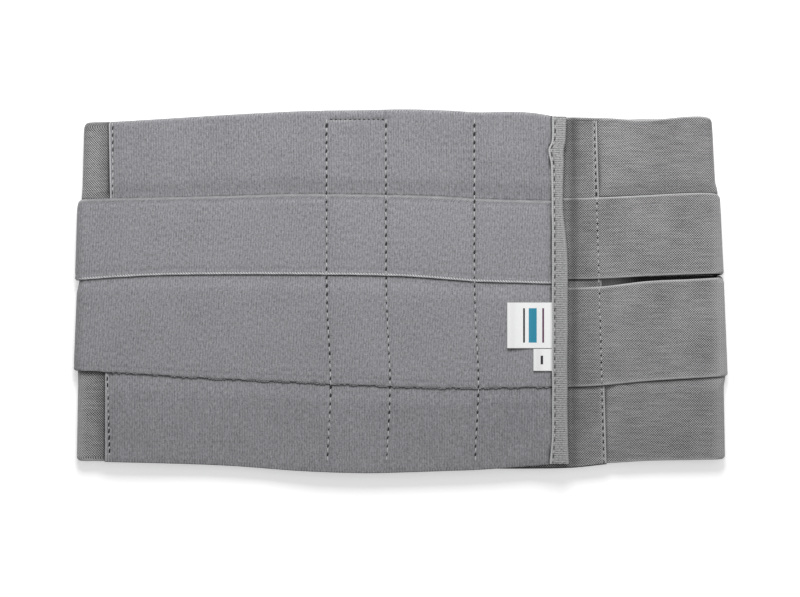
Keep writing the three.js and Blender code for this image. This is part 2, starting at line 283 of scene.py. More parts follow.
def elastic_edge_at(edge, x, front):
    """Height of a band's selvedge. The slit between bands 2 and 3 is all but closed on the hidden back."""
    if front and x < 0:
        return half_height * left_fold_edges[edge]
    if front:
        return half_height * smooth_table(elastic_edges, "along", x / half_length, edge)
    share = (x + half_length) / (2 * half_length)
    right_fold_edges = elastic_edges[-1]
    height = lerp(left_fold_edges[edge], right_fold_edges[edge], share)
    if edge.startswith("slit"):
        middle = lerp(left_fold_edges["slit_top"] + left_fold_edges["slit_bottom"],
                      right_fold_edges["slit_top"] + right_fold_edges["slit_bottom"], share) / 2
        closing = ease(half_length - abs(x), 0.2 * MM, 5 * MM)
        height = lerp(height, middle + (height - middle) * 0.01, closing)
    return half_height * height


def place_across(lane, low_edge, high_edge, share, width):
    """Gives each point of a lane its height on the belt and its distances from the selvedges and ends."""
    middle = (len(lane) - 1) / 2
    for step, point in enumerate(lane):
        low = low_edge(point["x"], point["front"])
        high = high_edge(point["x"], point["front"])
        point["y"] = lerp(low, high, share)
        point["low_side"] = share * width
        point["high_side"] = (1 - share) * width
        to_end = distance_between(lane[0] if step < middle else lane[-1], point)
        point["end_side"] = 1.0 if step == middle else to_end
    return lane


def outer_band_route(tuck, right, left, seam_y):
    """Line of a lane of band 1 or 4; tuck is 1 on the margin under the next band, 0 on the open cloth."""
    ramp = panel_edge_at(seam_y) + clearance
    elastic_end = tail_end - lap_length
    lap_head = tail_end + clearance
    over_lap = tail_top + pitch

    def front_level(x):
        return lerp(low_front, high_front, (1 - tuck) * ease(x, ramp, ramp + tuck_slope))

    def back_level(x):
        on_lap = 1 - ease(x, lap_head, lap_head + lap_slope)
        past_lap = 1 - ease(x, elastic_end - clearance - tuck_slope, elastic_end - clearance)
        return tuck * (pitch + (over_lap - pitch) * on_lap - (over_lap - tail_top) * past_lap)

    right_radius = (front_level(right) - tuck * pitch) / 2
    left_low = tuck * tail_top
    left_radius = (low_front - left_low) / 2
    return (stretch(band_start, right - right_radius, 56, front_level, 1)
            + half_turn(right, tuck * pitch, front_level(right), 1, 14)
            + stretch(right - right_radius, left + left_radius, 120, back_level, -1)
            + half_turn(left, left_low, low_front, -1, 12)
            + stretch(left + left_radius, plush_start + 18 * MM, 14, lambda x: low_front, 1))


def middle_band_route(right, seam_y):
    """Line of a lane of band 2 or 3, over the panel left of the seam and down to the belt right of it."""
    ramp = panel_edge_at(seam_y) + clearance
    lap_head = tail_end + clearance
    radius = high_front / 2

    def front_level(x):
        return lerp(seamed_front, high_front, ease(x, ramp, ramp + tuck_slope))

    def back_level(x):
        return tail_top * (1 - ease(x, lap_head, lap_head + lap_slope))

    return (stretch(band_start, right - radius, 56, front_level, 1)
            + half_turn(right, 0, high_front, 1, 14)
            + stretch(right - radius, tail_end - lap_length, 110, back_level, -1))


def elastic_faces(point):
    """A webbing's two faces: rounded selvedges, each with a slightly thicker cord just inside it."""
    outer, inner = rounded_wall(nearest_side(point), elastic_wall)
    cord = 0.12 * MM * ridge(min(point["low_side"], point["high_side"]), 1.1, 0.6)
    return outer - cord, inner


def near_binding_tone(x, y):
    """Painted shade on the webbing in the lee of the flap's thick bound end."""
    past = x - 0.503 * half_length
    if past < -6 * MM:
        return 0.0
    depth = 0.36 + 0.22 * noise.noise(Vector((0.3, y * 24, 5.0)))
    return depth * ridge(past, 5, 2.8) + 0.28 * fade(past, 6, 26)


def webbing_tones(number):
    """Tones of one elastic band: pale bare selvedges, painted highlights on its folds, and painted shade in
    creases and gaps.
    """
    above, below = number == 1, number == 4

    def tones(point, outside):
        x, y = point["x"], point["y"]
        share = x / half_length
        pale = 0.0
        # band 4 is a little darker over the belt's right half
        dark = 0.1 * ease(share, 0.3, 0.5) if below and outside and point["front"] else 0.0
        for side, covered in ((point["low_side"], above), (point["high_side"], below)):
            if covered:
                # painted shade in the crease beside a covering band's selvedge, and on band 4 a wider painted
                # shadow under band 3's edge towards the right
                gap_shade = math.exp(-((share - 0.84) / 0.12) ** 2) if below else 0.0
                past = side - band_overlap
                dark = max(dark, crease_tone(past), 0.75 * gap_shade * fade(past, 0.4, 4.5))
            else:
                pale = max(pale, fade(side, 0.4, 1.7))
        at_slit = point["low_side"] if number == 2 else point["high_side"] if number == 3 else 1.0
        # on the inner face: a painted highlight near the seam, and painted shade further into the loop by the
        # slit
        if not outside:
            lit = 1 - ease(share, 0.63, 0.75)
            return 1.7 * lit, max(dark, 0.95 * (1 - lit) * fade(at_slit, 8, 30))
        # painted shade on the back's selvedges by the slit near the right fold
        if not point["front"]:
            hidden = ease(share, 0.8, 0.9) * fade(at_slit, 2, 6)
            return pale * (1 - hidden), max(dark, 0.9 * hidden)
        # painted highlights along both folds
        pale = max(pale, 0.8 * ease(share, 0.94, 0.995), 0.7 * ease(-share, 0.955, 0.99))
        if share <= 0:
            # painted shade beside the flap's stitched start edge
            to_flap = plush_start - x - (early_start if below else 0.0)
            return pale, max(dark, 0.4 * fade(to_flap, 0, 9), 0.9 - ease(to_flap, 0.2 * MM, 1.3 * MM))
        dark = max(dark, near_binding_tone(x, y))
        # painted shade beside the panel's folded edge
        if above or below:
            panel_rim = half_height * (panel_edges[-1]["top"] if above else -panel_edges[-1]["bottom"])
            past_rim, past_side = abs(y) - panel_rim, x - panel_edge_at(y)
            dark = max(dark, crease_tone(past_side) if past_side > max(-3 * MM, past_rim) else 0.0)
        # painted shade of a short pucker inside band 2's upper selvedge, near the seam
        if number == 2:
            pucker_shade = ridge(point["high_side"], 3.1, 0.45)
            dark = max(dark, pucker_shade * (1 - ease(share, 0.53, 0.585)))
        return pale, dark
    return tones


def rounded_corner(distance, radius):
    """How far a corner of that radius draws an end in at that distance from the selvedge."""
    share = min(1.0, distance / radius)
    return radius * (1 - math.sqrt(1 - (1 - share) ** 2))


def cut_corner(share, width):
    """How far the corners of a band's fold draw it in, at that share of its width from its lower selvedge."""
    return max(rounded_corner(share * width, lower_corner), rounded_corner((1 - share) * width, upper_corner))


def outer_band_lanes(number, neighbour):
    """Lanes of band 1 or band 4, from its lower selvedge up."""
    above = number == 1
    seam, rim = ("upper", "top") if above else ("lower", "bottom")
    width = abs(left_fold_edges[rim] - left_fold_edges[seam]) * half_height + band_overlap
    sign = 1 if above else -1
    tucked_right = half_length * fold_reach[neighbour]["right"][1 if above else 0] - pitch
    tucked_left = half_length * fold_reach[neighbour]["left"][1 if above else 0] + tail_top

    def seam_edge(x, front):
        return elastic_edge_at(seam, x, front) - sign * band_overlap

    def rim_edge(x, front):
        return elastic_edge_at(rim, x, front)

    low_edge, high_edge = (seam_edge, rim_edge) if above else (rim_edge, seam_edge)
    lanes = []
    for share in across_shares(width, fine_rim, 22):
        from_seam = (share if above else 1 - share) * width
        tuck = 1 - ease(from_seam, band_overlap + tuck_slack, band_overlap + tuck_slack + tuck_slope)
        from_rim = (1 - share if above else share) * width
        corner = rounded_corner(from_rim, upper_corner if above else bottom_corner)
        right = lerp(half_length * lerp(*fold_reach[number]["right"], share) - corner, tucked_right, tuck)
        left = lerp(half_length * lerp(*fold_reach[number]["left"], share) + corner, tucked_left, tuck)
        seam_y = lerp(low_edge(seam_x, True), high_edge(seam_x, True), share)
        route = outer_band_route(tuck, right, left, seam_y)
        lanes.append(place_across(route, low_edge, high_edge, share, width))
    return lanes


def middle_band_lanes(number, low_name, high_name):
    """Lanes of band 2 or band 3, from its lower selvedge up."""
    width = (left_fold_edges[high_name] - left_fold_edges[low_name]) * half_height

    def low_edge(x, front):
        return elastic_edge_at(low_name, x, front)

    def high_edge(x, front):
        return elastic_edge_at(high_name, x, front)

    lanes = []
    for share in across_shares(width, fine_rim, 22):
        right = half_length * lerp(*fold_reach[number]["right"], share) - cut_corner(share, width)
        seam_y = lerp(low_edge(seam_x, True), high_edge(seam_x, True), share)
        route = middle_band_route(right, seam_y)
        lanes.append(place_across(route, low_edge, high_edge, share, width))
    return lanes


def add_node(material, kind, inputs, **settings):
    """Adds a shader node. An input is a value, or another node's output that feeds it."""
    node = material.node_tree.nodes.new("ShaderNode" + kind)
    for name, value in settings.items():
        setattr(node, name, value)
    for name, value in inputs.items():
        if isinstance(value, bpy.types.NodeSocket):
            material.node_tree.links.new(value, node.inputs[name])
        else:
            node.inputs[name].default_value = value
    return node


def new_cloth(name, roughness, sheen):
    """An empty cloth material, its shader and the cloth's own weave coordinates, in metres."""
    material = bpy.data.materials.new(name)
    material.use_nodes = True
    shader = material.node_tree.nodes["Principled BSDF"]
    shader.inputs["Roughness"].default_value = roughness
    shader.inputs["Sheen Weight"].default_value = sheen
    shader.inputs["Sheen Roughness"].default_value = 0.5
    shader.inputs["Specular IOR Level"].default_value = 0.25
    coordinates = add_node(material, "UVMap", {}, uv_map="weave").outputs["UV"]
    return material, shader, coordinates


def ribs(material, coordinates, spacing, direction, distortion=0.0, turn=(1, 1, 1)):
    """Even ribs of that spacing in millimetres, as a value from 0 to 1."""
    turned = add_node(material, "Mapping", {"Vector": coordinates, "Scale": turn}).outputs["Vector"]
    per_metre = math.pi / (5 if direction == "DIAGONAL" else 10) / (spacing * MM)
    return add_node(material, "TexWave", {"Vector": turned, "Scale": per_metre, "Distortion": distortion,
                                          "Detail": 1.5, "Detail Scale": 1.2},
                    wave_type="BANDS", bands_direction=direction).outputs["Fac"]


def mottle(material, coordinates, spacing, detail=2.0, turn=(1, 1, 1)):
    """Cloudy variation whose patches are about that many millimetres wide, as a value from 0 to 1."""
    turned = add_node(material, "Mapping", {"Vector": coordinates, "Scale": turn}).outputs["Vector"]
    return add_node(material, "TexNoise", {"Vector": turned, "Scale": 1 / (spacing * MM), "Detail": detail,
                                           "Roughness": 0.6}).outputs["Fac"]


def blend_values(material, first, second, operation, third=None):
    inputs = {0: first, 1: second}
    if third is not None:
        inputs[2] = third
    return add_node(material, "Math", inputs, operation=operation).outputs["Value"]


def layered(material, base, layers, scale):
    """The base value with each layer's value added at its weight, and the whole scaled."""
    for value, weight in layers:
        base = blend_values(material, value, weight, "MULTIPLY_ADD", base)
    return blend_values(material, base, scale, "MULTIPLY")


def mixed_colour(material, share, colour, other):
    return add_node(material, "Mix", {0: share, 6: colour, 7: (*other, 1)}, data_type="RGBA").outputs[2]


def colour_between(material, share, dark, light, low=0.0, high=1.0):
    """A colour from dark to light as the share goes from low to high."""
    ramp = add_node(material, "ValToRGB", {"Fac": share})
    for element, place, colour in zip(ramp.color_ramp.elements, (low, high), (dark, light)):
        element.position = place
        element.color = (*colour, 1)
    return ramp.outputs["Color"]


def finish_cloth(material, shader, colour, heights):
    """Gives the shader its colour and its stacked bumps, each a height value and a depth in millimetres."""
    material.node_tree.links.new(colour, shader.inputs["Base Color"])
    normal = None
    for height, depth in heights:
        inputs = {"Height": height, "Distance": depth * MM, "Strength": 1.0}
        if normal is not None:
            inputs["Normal"] = normal
        normal = add_node(material, "Bump", inputs).outputs["Normal"]
    material.node_tree.links.new(normal, shader.inputs["Normal"])
    return material


def toned(material, weave, colour, paler, pale_share, speckle, unevenness=0.0, dark_share=0.85):
    """The colour with the sheet's pale selvedges and painted highlights, dotted by their yarn, and its
    painted shade.

    The unevenness is how far the painted shade comes and goes where the cloth bulges over it."""
    pale = add_node(material, "Attribute", {}, attribute_name="pale").outputs["Fac"]
    dark = add_node(material, "Attribute", {}, attribute_name="dark").outputs["Fac"]
    dots = ribs(material, weave, 1.75, "X")
    share = blend_values(material, dots, speckle, "MULTIPLY_ADD", pale_share - speckle / 2)
    share = blend_values(material, pale, share, "MULTIPLY")
    share = add_node(material, "Clamp", {"Value": share}).outputs["Result"]
    colour = mixed_colour(material, share, colour, paler)
    share = blend_values(material, dark, dark_share, "MULTIPLY")
    if unevenness:
        bulges = mottle(material, weave, 3.2, 2.0, (1, 0.3, 1))
        kept = blend_values(material, bulges, 4 * unevenness, "MULTIPLY_ADD", 1 - 2.1 * unevenness)
        kept = add_node(material, "Clamp", {"Value": kept, "Min": 0.25, "Max": 1.15}).outputs["Result"]
        share = blend_values(material, share, kept, "MULTIPLY")
    # painted shade draws the colour towards near black
    return mixed_colour(material, share, colour, (0.012, 0.012, 0.013))


def elastic_cloth():
    """Plain elastic webbing: crossing yarns that show as slanted rows of dots, and faint streaks along it."""
    material, shader, weave = new_cloth("elastic_webbing", 0.85, 0.1)
    rising = ribs(material, weave, 1.55, "DIAGONAL", 0.2)
    falling = ribs(material, weave, 1.55, "DIAGONAL", 0.2, (1, -1, 1))
    dots = blend_values(material, rising, falling, "MULTIPLY")
    yarn = mottle(material, weave, 1.1, 3.0)
    streaks = mottle(material, weave, 0.9, 2.0, (0.06, 1.0, 1))
    patches = mottle(material, weave, 30)
    shade = layered(material, dots, [(yarn, 0.42), (streaks, 0.40), (patches, 0.22)], 0.515)
    colour = colour_between(material, shade, (0.02, 0.02, 0.021), (0.80, 0.795, 0.80), 0.23, 0.78)
    colour = toned(material, weave, colour, (0.56, 0.558, 0.562), 0.6, 0.35)
    return finish_cloth(material, shader, colour, [(dots, 0.10), (yarn, 0.06)])


def finish_sheet(piece, material, node):
    piece.data.materials.append(material)
    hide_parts(node)
    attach(piece, "root")


webbing = elastic_cloth()
elastic_lanes = {
    1: outer_band_lanes(1, 2),
    2: middle_band_lanes(2, "slit_top", "upper"),
    3: middle_band_lanes(3, "lower", "slit_bottom"),
    4: outer_band_lanes(4, 3),
}
for number, lanes in elastic_lanes.items():
    band = cloth_sheet(f"webbing_band_{number}", lanes, elastic_faces, webbing_tones(number))
    finish_sheet(band, webbing, f"elastic_band_{number}")

# Underlap panel
# One full-height piece of the same webbing, sewn across the front ends of the four bands. The flap
# closes on it, so most of it is hidden; its right edge shows as a light ridge on bands 1 and 4.
panel_step = 10.0 * MM


def panel_height_at(edge):
    return lambda x, front: half_height * smooth_table(panel_edges, "along", x / half_length, edge)


def panel_lanes():
    step_end = band_start - clearance
    rest_level = front_floor + panel_wall
    height = (panel_edges[0]["top"] - panel_edges[0]["bottom"]) * half_height
    lanes = []
    for share in across_shares(height, fine_rim, 60):
        edge_y = half_height * lerp(panel_edges[-1]["bottom"], panel_edges[-1]["top"], share)
        rim = panel_edge_at(edge_y)
        places = [panel_start + step for step in fine_rim]
        inner = [lerp(places[-1], rim - fine_rim[-1], step / 80) for step in range(1, 80)]
        places += inner + [rim - step for step in reversed(fine_rim)]
        lane = [point_at(x, lerp(rest_level, high_front, ease(x, step_end - panel_step, step_end)), (0.0, 1))
                for x in places]
        lanes.append(place_across(lane, panel_height_at("bottom"), panel_height_at("top"), share, height))
    return lanes


def panel_faces(point):
    """The panel's right edge is folded under, so it stands up as a cord where no band lies over it."""
    outer, inner = elastic_faces(point)
    y_share = point["y"] / half_height
    uncovered = max(ease(y_share, 0.525, 0.55), ease(-y_share, 0.53, 0.55))
    right_side = panel_edge_at(point["y"]) - point["x"]
    return outer - 0.5 * MM * uncovered * ridge(right_side, 0.75, 0.5), inner


def panel_tones(point, outside):
    """A pale folded edge and a dark seam line beside it, with painted shade along its selvedges, in the
    binding's lee, in the creases under bands 2 and 3, in the slit and on its inner face.
    """
    x, y = point["x"], point["y"]
    edge = panel_edge_at(y) - x
    rim = min(point["low_side"], point["high_side"])
    past_bands = (y - elastic_edge_at("upper", x, True), elastic_edge_at("lower", x, True) - y)
    in_slit = elastic_edge_at("slit_top", x, True) - y
    pale = max(1.3 * fade(edge, 0.8, 1.3), 0.8 * ridge(edge, 2.9, 0.4))
    dark = max(near_binding_tone(x, y), 0.6 * ridge(edge, 1.9, 0.45), 0.8 * fade(rim, 0.5, 1.3),
               0.38 + crease_tone(in_slit) if -2 * MM < in_slit < 9 * MM else 0.0,
               *(crease_tone(past) for past in past_bands if past > -3 * MM))
    return pale, dark if outside else 0.6


underlap_lanes = panel_lanes()
underlap = cloth_sheet("underlap_webbing", underlap_lanes, panel_faces, panel_tones)
finish_sheet(underlap, webbing, "underlap_panel")

# Flap
# Four bands of brushed loop cloth on thin foam, sewn edge over edge: band 2 over 1 and 3, and 3 over 4.
# The foam is pinched flat at the overlaps and where the hook tapes are sewn on behind. Bands 2 and 3
# wrap the left fold; bands 1 and 4 start at a stitched edge on the webbing.
flap_rise = 14.0 * MM
flap_rise_end = 0.449 * half_length
plush_end = 0.488 * half_length
hook_width_1, hook_width_2 = 38 * MM, 45.5 * MM
tape_lines = (-0.222 * half_length, -0.222 * half_length + hook_width_1, 0.228 * half_length)
margin_wall = (plush_wall - clearance) / 2
thinnest_foam = 0.5 * MM
plush_on_elastic = low_front + clearance
plush_on_hooks = low_front + clearance + hook_wall + clearance
plush_in_binding = seamed_front + clearance + binding_wall + clearance
line_dent = 0.95 * MM
line_reach = 3.6 * MM
box_top = 0.943 * half_height
start_corner = 2.2 * MM
binding_edges = table(
    "up lip edge",
    (-0.945, 0.453, 0.512),
    (-0.764, 0.459, 0.508),
    (-0.300, 0.459, 0.508),
    (0.200, 0.459, 0.507),
    (0.450, 0.458, 0.494),
    (0.690, 0.456, 0.496),
    (0.775, 0.448, 0.496),
    (0.820, 0.458, 0.501),
    (0.958, 0.460, 0.504))
# a band's tone at each selvedge is the darkness of the painted crease shade where it lies under, and
# its paleness where over; dark darkens the whole band, and right_dark adds more towards the right
plush_bands = table(
    "number low high low_kind high_kind wraps low_tone high_tone start_pale dark right_dark",
    (1, "upper", "top", "under", "free", False, 0.7, 0.0, 0.5, 0.07, 0.05),
    (2, "middle", "upper", "over", "over", True, 0.85, 0.42, 0.0, 0.0, 0.0),
    (3, "lower", "middle", "over", "under", True, 0.1, 0.9, 0.0, 0.03, 0.0),
    (4, "bottom", "lower", "free", "under", False, 0.0, 0.28, 0.35, 0.14, 0.07))


def flap_floor(x):
    """Underside of the flap: on the webbing, sagging a little, on the hook tapes, then up to its binding."""
    sagged = (ease(x, -0.8 * half_length, -0.57 * half_length)
              - ease(x, panel_start - flap_rise * 2, panel_start - flap_rise / 2))
    to_hooks = ease(x, panel_start - flap_rise, tape_lines[0])
    to_binding = ease(x, flap_rise_end - flap_rise, flap_rise_end)
    return (plush_on_elastic - 0.22 * body_gap * sagged + (plush_on_hooks - plush_on_elastic) * to_hooks
            + (plush_in_binding - plush_on_hooks) * to_binding)


def plush_face(x):
    return flap_floor(x) + plush_wall


def tape_line_bow(line, y):
    """The tapes' stitch lines bow to the right below the middle of the flap."""
    return line + 2.6 * MM * ridge(y, -60, 38) - 0.8 * MM


def lip_at(y):
    """The left lip of the binding, which lies over the flap's end."""
    return half_length * smooth_table(binding_edges, "up", y / half_height, "lip")


def binding_edge_at(y):
    """The binding's rounded right edge."""
    return half_length * smooth_table(binding_edges, "up", y / half_height, "edge")


def foam_edge(kind, distance):
    """How the foam's two faces lie that far from a selvedge: under its neighbour, over it, or free."""
    if kind == "under":
        top = lerp(margin_wall, plush_wall, ease(distance, band_overlap + 0.3 * MM, band_overlap + 12 * MM))
        return plush_wall - top, plush_wall
    if kind == "over":
        thin = 1 - ease(distance, band_overlap + 0.4 * MM, band_overlap + 2.4 * MM)
        return 0.25 * MM * ridge(distance, 3.4, 1.3), plush_wall - (plush_wall - margin_wall) * thin
    top = lerp(2.0 * MM, plush_wall, ease(distance, 0, 3 * MM))
    return plush_wall - top, plush_wall


def in_tape_box(x, band):
    """Whether band 1's line of stitches across the top of the first hook tape passes there."""
    return band["number"] == 1 and tape_lines[0] < x < tape_lines[1]


def plush_faces_of(band):
    """How a band's foam is pinched by its neighbours and dented by the tapes' stitch lines."""
    def faces(point):
        low_outer, low_inner = foam_edge(band["low_kind"], point["low_side"])
        high_outer, high_inner = foam_edge(band["high_kind"], point["high_side"])
        outer, inner = max(low_outer, high_outer), min(low_inner, high_inner)
        if point["front"]:
            for line in tape_lines:
                offset = abs(point["x"] - tape_line_bow(line, point["y"]))
                dent = line_dent * (1 - ease(offset, 0, line_reach)) ** 1.4
                outer = max(outer, outer * 0.5 + dent)
            if in_tape_box(point["x"], band):
                outer += 0.4 * MM * ridge(point["y"] - box_top, 0, 0.9)
        if not band["wraps"] and point["x"] < 0:
            start = point["end_side"]
            outer += 0.75 * MM * ease(start, 1.2 * MM, 2.0 * MM) * fade(start, 3.0, 9)
        outer = min(outer, inner - thinnest_foam)
        rim_outer, rim_inner = rounded_wall(nearest_side(point), inner - outer)
        return outer + rim_outer, outer + rim_inner
    return faces


def plush_tones_of(band):
    """Tones of one band: its pale selvedges and ends, and painted shade in the creases beside its neighbours,
    in its stitch lines and beside the binding's lip.
    """
    def tones(point, outside):
        x, y, start = point["x"], point["y"], point["end_side"]
        low, high = point["low_side"], point["high_side"]
        pale, dark = 0.0, band["dark"] + band["right_dark"] * ease(x / half_length, -0.2, 0.4)
        for kind, side, tone in ((band["low_kind"], low, band["low_tone"]),
                                 (band["high_kind"], high, band["high_tone"])):
            if kind == "under":
                dark = max(dark, crease_tone(side - band_overlap) * tone)
            elif kind == "over":
                pale = max(pale, tone * fade(side, 1.1, 1.7))
            else:
                pale = max(pale, 0.25 * fade(side, 0.6, 2.4))
        # painted shade along band 2's upper selvedge, where its edge catches the light, and a thin dark line
        # inside its lower one
        if band["number"] == 2:
            dark = max(dark, 0.32 * fade(high, 0.2, 0.9), 0.3 * ridge(low, 2.0, 0.35))
        # painted shade along band 3's lower selvedge, above the crease
        elif band["number"] == 3:
            dark = max(dark, 0.34 * fade(low, 0.3, 4))
        if not (outside and point["front"]):
            return pale, dark
        # painted shade in the dents of the tapes' stitch lines
        for line in tape_lines:
            dark = max(dark, 0.25 * ridge(x - tape_line_bow(line, y), 0, 1.0))
        # painted shade in the dent of the stitch line across the tape box's top, with a pale line below it
        if in_tape_box(x, band):
            dark = max(dark, 0.45 * ridge(box_top - y, 0, 0.5))
            pale = max(pale, 0.5 * ridge(box_top - y, 1.1, 0.4))
        # painted shade in the gap beside the binding's lip
        to_lip = lip_at(y) - x
        if to_lip > -2 * MM:
            dark = max(dark, 0.9 - ease(to_lip, 0.4 * MM, 1.3 * MM), 0.25 * fade(to_lip, 0, 5))
        # a pale start edge, with painted shade in the dent of the stitch line beside it
        if not band["wraps"]:
            pale = max(pale, band["start_pale"] * fade(start, 1.4, 2.2))
            dark = max(dark, 0.4 * ridge(start, 2.5, 0.6) if x < 0 else 0)
        return pale, dark
    return tones


def crease_pucker(x):
    """How far the crease between bands 3 and 4 wanders where its closing stitch pulls it in."""
    return 0.55 * MM * noise.noise(Vector((x * 260, 0.4, 2.2)))


def flap_height_at(edge, offset=0.0):
    """Height of one of the flap's edges, moved by the offset, as a function of x and of front or back."""
    def height(x, front):
        puckered = crease_pucker(x) if edge == "lower" and front else 0.0
        along = x / half_length if front else -1
        return half_height * smooth_table(flap_edges, "along", along, edge) + offset + puckered
    return height


def plush_lanes(band):
    number = band["number"]
    low_offset = -band_overlap if band["low_kind"] == "under" else 0.0
    high_offset = band_overlap if band["high_kind"] == "under" else 0.0
    tallest = flap_edges[5]
    width = (tallest[band["high"]] - tallest[band["low"]]) * half_height + high_offset - low_offset
    radius = plush_face(-half_length) / 2
    lanes = []
    for share in across_shares(width, fine_rim, 30):
        reach = half_length * lerp(*fold_reach[number]["left"], share) + cut_corner(share, width)
        if band["wraps"]:
            lane = (stretch(tail_end, reach + radius, 24, lambda x: 0.0, -1)
                    + half_turn(reach, 0, plush_face(-half_length), -1, 18)
                    + stretch(reach + radius, plush_end, 200, plush_face, 1))
        else:
            start = plush_start - early_start
            if number == 1:
                leaning = lerp(0.6, -0.3, share) * MM
                start = plush_start + leaning + rounded_corner((1 - share) * width, start_corner)
            lane = [point_at(start + step, plush_face(start), (0.0, 1)) for step in fine_rim[:6]]
            lane += stretch(start, plush_end, 196, plush_face, 1)[1:]
        lanes.append(place_across(lane, flap_height_at(band["low"], low_offset),
                                  flap_height_at(band["high"], high_offset), share, width))
    return lanes


def plush_cloth():
    """Brushed loop cloth: upright rows of uneven, broken fibres, with a soft sheen and slow shade changes."""
    material, shader, weave = new_cloth("brushed_plush", 0.95, 0.2)
    rows = ribs(material, weave, 1.6, "X", 1.8)
    fibres = mottle(material, weave, 1.1, 2.0, (1.0, 0.45, 1))
    lint = mottle(material, weave, 0.85, 2.0)
    patches = mottle(material, weave, 30)
    shade = layered(material, fibres, [(rows, 0.15), (lint, 0.8), (patches, 0.14)], 0.468)
    colour = colour_between(material, shade, (0.133, 0.131, 0.141), (0.43, 0.425, 0.45), 0.30, 0.68)
    colour = toned(material, weave, colour, (0.80, 0.798, 0.81), 0.32, 1.9, 0.8)
    return finish_cloth(material, shader, colour, [(rows, 0.10), (fibres, 0.14), (lint, 0.08)])


plush = plush_cloth()
for row in plush_bands:
    band = cloth_sheet(f"brushed_band_{row['number']}", plush_lanes(row), plush_faces_of(row),
                       plush_tones_of(row))
    band.data.materials.append(plush)
    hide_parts(f"plush_band_{row['number']}")
    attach(band, "root")

# Hook tapes
# Two upright tapes of stiff moulded hooks on the flap's reverse, which grip the panel. They are hidden
# when the belt is closed; only the stitch lines that hold them show on the flap.
hook_top = 0.95 * half_height
hook_bottom = -0.935 * half_height
hook_height = hook_top - hook_bottom


def hook_cloth():
    material, shader, weave = new_cloth("hook_tape", 0.6, 0.0)
    rows, columns = ribs(material, weave, 1.6, "X"), ribs(material, weave, 1.6, "Y")
    hooks = blend_values(material, rows, columns, "MULTIPLY")
    colour = colour_between(material, hooks, (0.10, 0.10, 0.105), (0.22, 0.22, 0.23))
    return finish_cloth(material, shader, colour, [(hooks, 0.4)])


def plain_faces(wall):
    return lambda point: rounded_wall(nearest_side(point), wall)


def level_edge(height):
    return lambda x, front: height


hooks = hook_cloth()
for number, start, width in ((1, tape_lines[0], hook_width_1), (2, tape_lines[2], hook_width_2)):
    lanes = [place_across(stretch(start, start + width, 30, lambda x: flap_floor(x) - clearance, 1),
                          level_edge(hook_bottom), level_edge(hook_top), share, hook_height)
             for share in across_shares(hook_height, fine_rim, 40)]
    tape = cloth_sheet(f"hooked_tape_{number}", lanes, plain_faces(hook_wall), lambda *place: (0.0, 0.0))
    finish_sheet(tape, hooks, f"hook_tape_{number}")

# End binding
# Ribbed tape folded over the flap's cut end and sewn down through all layers near its left lip. Its
# sides wander a little, because it is sewn by hand-guided machine over the thick edge.
leaf_low = plush_in_binding - clearance - binding_wall
leaf_high = plush_in_binding + plush_wall + clearance + binding_wall
lip_stitch_mm = 1.9      # how far the line lies in from the lip


def binding_lanes():
    low_y, high_y = binding_edges[0]["up"] * half_height, binding_edges[-1]["up"] * half_height
    radius = (leaf_high - leaf_low) / 2

    def frayed_end(x, front):
        return low_y + 0.7 * MM * noise.noise(Vector((x * 700, 1.7, 0)))

    lanes = []
    for share in across_shares(high_y - low_y, fine_rim, 190):
        y = lerp(low_y, high_y, share)
        wander = 0.25 * MM * noise.noise(Vector((y * 60, 3.1, 0.7)))
        lip, edge = lip_at(y) + wander, binding_edge_at(y) + wander
        lane = (stretch(lip, edge - radius, 14, lambda x: leaf_high, 1)
                + half_turn(edge, leaf_low, leaf_high, 1, 12)
                + stretch(edge - radius, lip, 12, lambda x: leaf_low, -1))
        lanes.append(place_across(lane, frayed_end, level_edge(high_y), share, high_y - low_y))
    return lanes


def binding_faces(point):
    """The tape's faces, with a groove where it is sewn down along its lip."""
    outer, inner = rounded_wall(nearest_side(point), binding_wall)
    if point["front"] and inner - outer > 0.5 * MM:
        outer += 0.45 * MM * ridge(point["end_side"], lip_stitch_mm, 0.7)
    return outer, inner


def binding_tones(point, outside):
    # the hidden back is pale; the front has a pale lip, a paler strip along its folded edge, and painted
    # shade in the groove of the lip's stitch line
    if not point["front"]:
        return 0.6, 0.0
    from_lip = point["end_side"]
    to_edge = binding_edge_at(point["y"]) - point["x"]
    pale = max(fade(from_lip, 0.7, 1.4), 0.4 * fade(to_edge, 1.0, 2.6))
    return pale, 0.55 * ridge(from_lip, lip_stitch_mm, 0.55)


def binding_cloth():
    """Grosgrain tape: fine ribs across its width, with pale flecks where the yarn catches the light."""
    material, shader, weave = new_cloth("ribbed_binding", 0.75, 0.1)
    rib = ribs(material, weave, 1.4, "Y", 0.5)
    fleck = mottle(material, weave, 1.2, 3.0, (1.0, 1.8, 1))
    shade = layered(material, fleck, [(rib, 0.22)], 0.7)
    colour = colour_between(material, shade, (0.06, 0.06, 0.062), (0.60, 0.60, 0.605), 0.22, 0.66)
    colour = toned(material, weave, colour, (0.58, 0.58, 0.585), 0.7, 0.2)
    return finish_cloth(material, shader, colour, [(rib, 0.08), (fleck, 0.09)])


tape_lanes = binding_lanes()
binding = cloth_sheet("ribbed_binding", tape_lanes, binding_faces, binding_tones)
finish_sheet(binding, binding_cloth(), "end_binding")

# Labels
# Two folded satin labels caught under the binding's left lip: a square one and a small tab below it.
# Both lie on band 3 of the flap. The real ones carry words; these have plain woven stripes instead.
label_wall = 0.5 * MM
label_lap = 0.8 * MM


def within(material, place, middle, width):
    """1 where the value is inside a stretch of that width round its middle, else 0."""
    offset = blend_values(material, place, middle, "SUBTRACT")
    return blend_values(material, blend_values(material, offset, 0.0, "ABSOLUTE"), width / 2, "LESS_THAN")


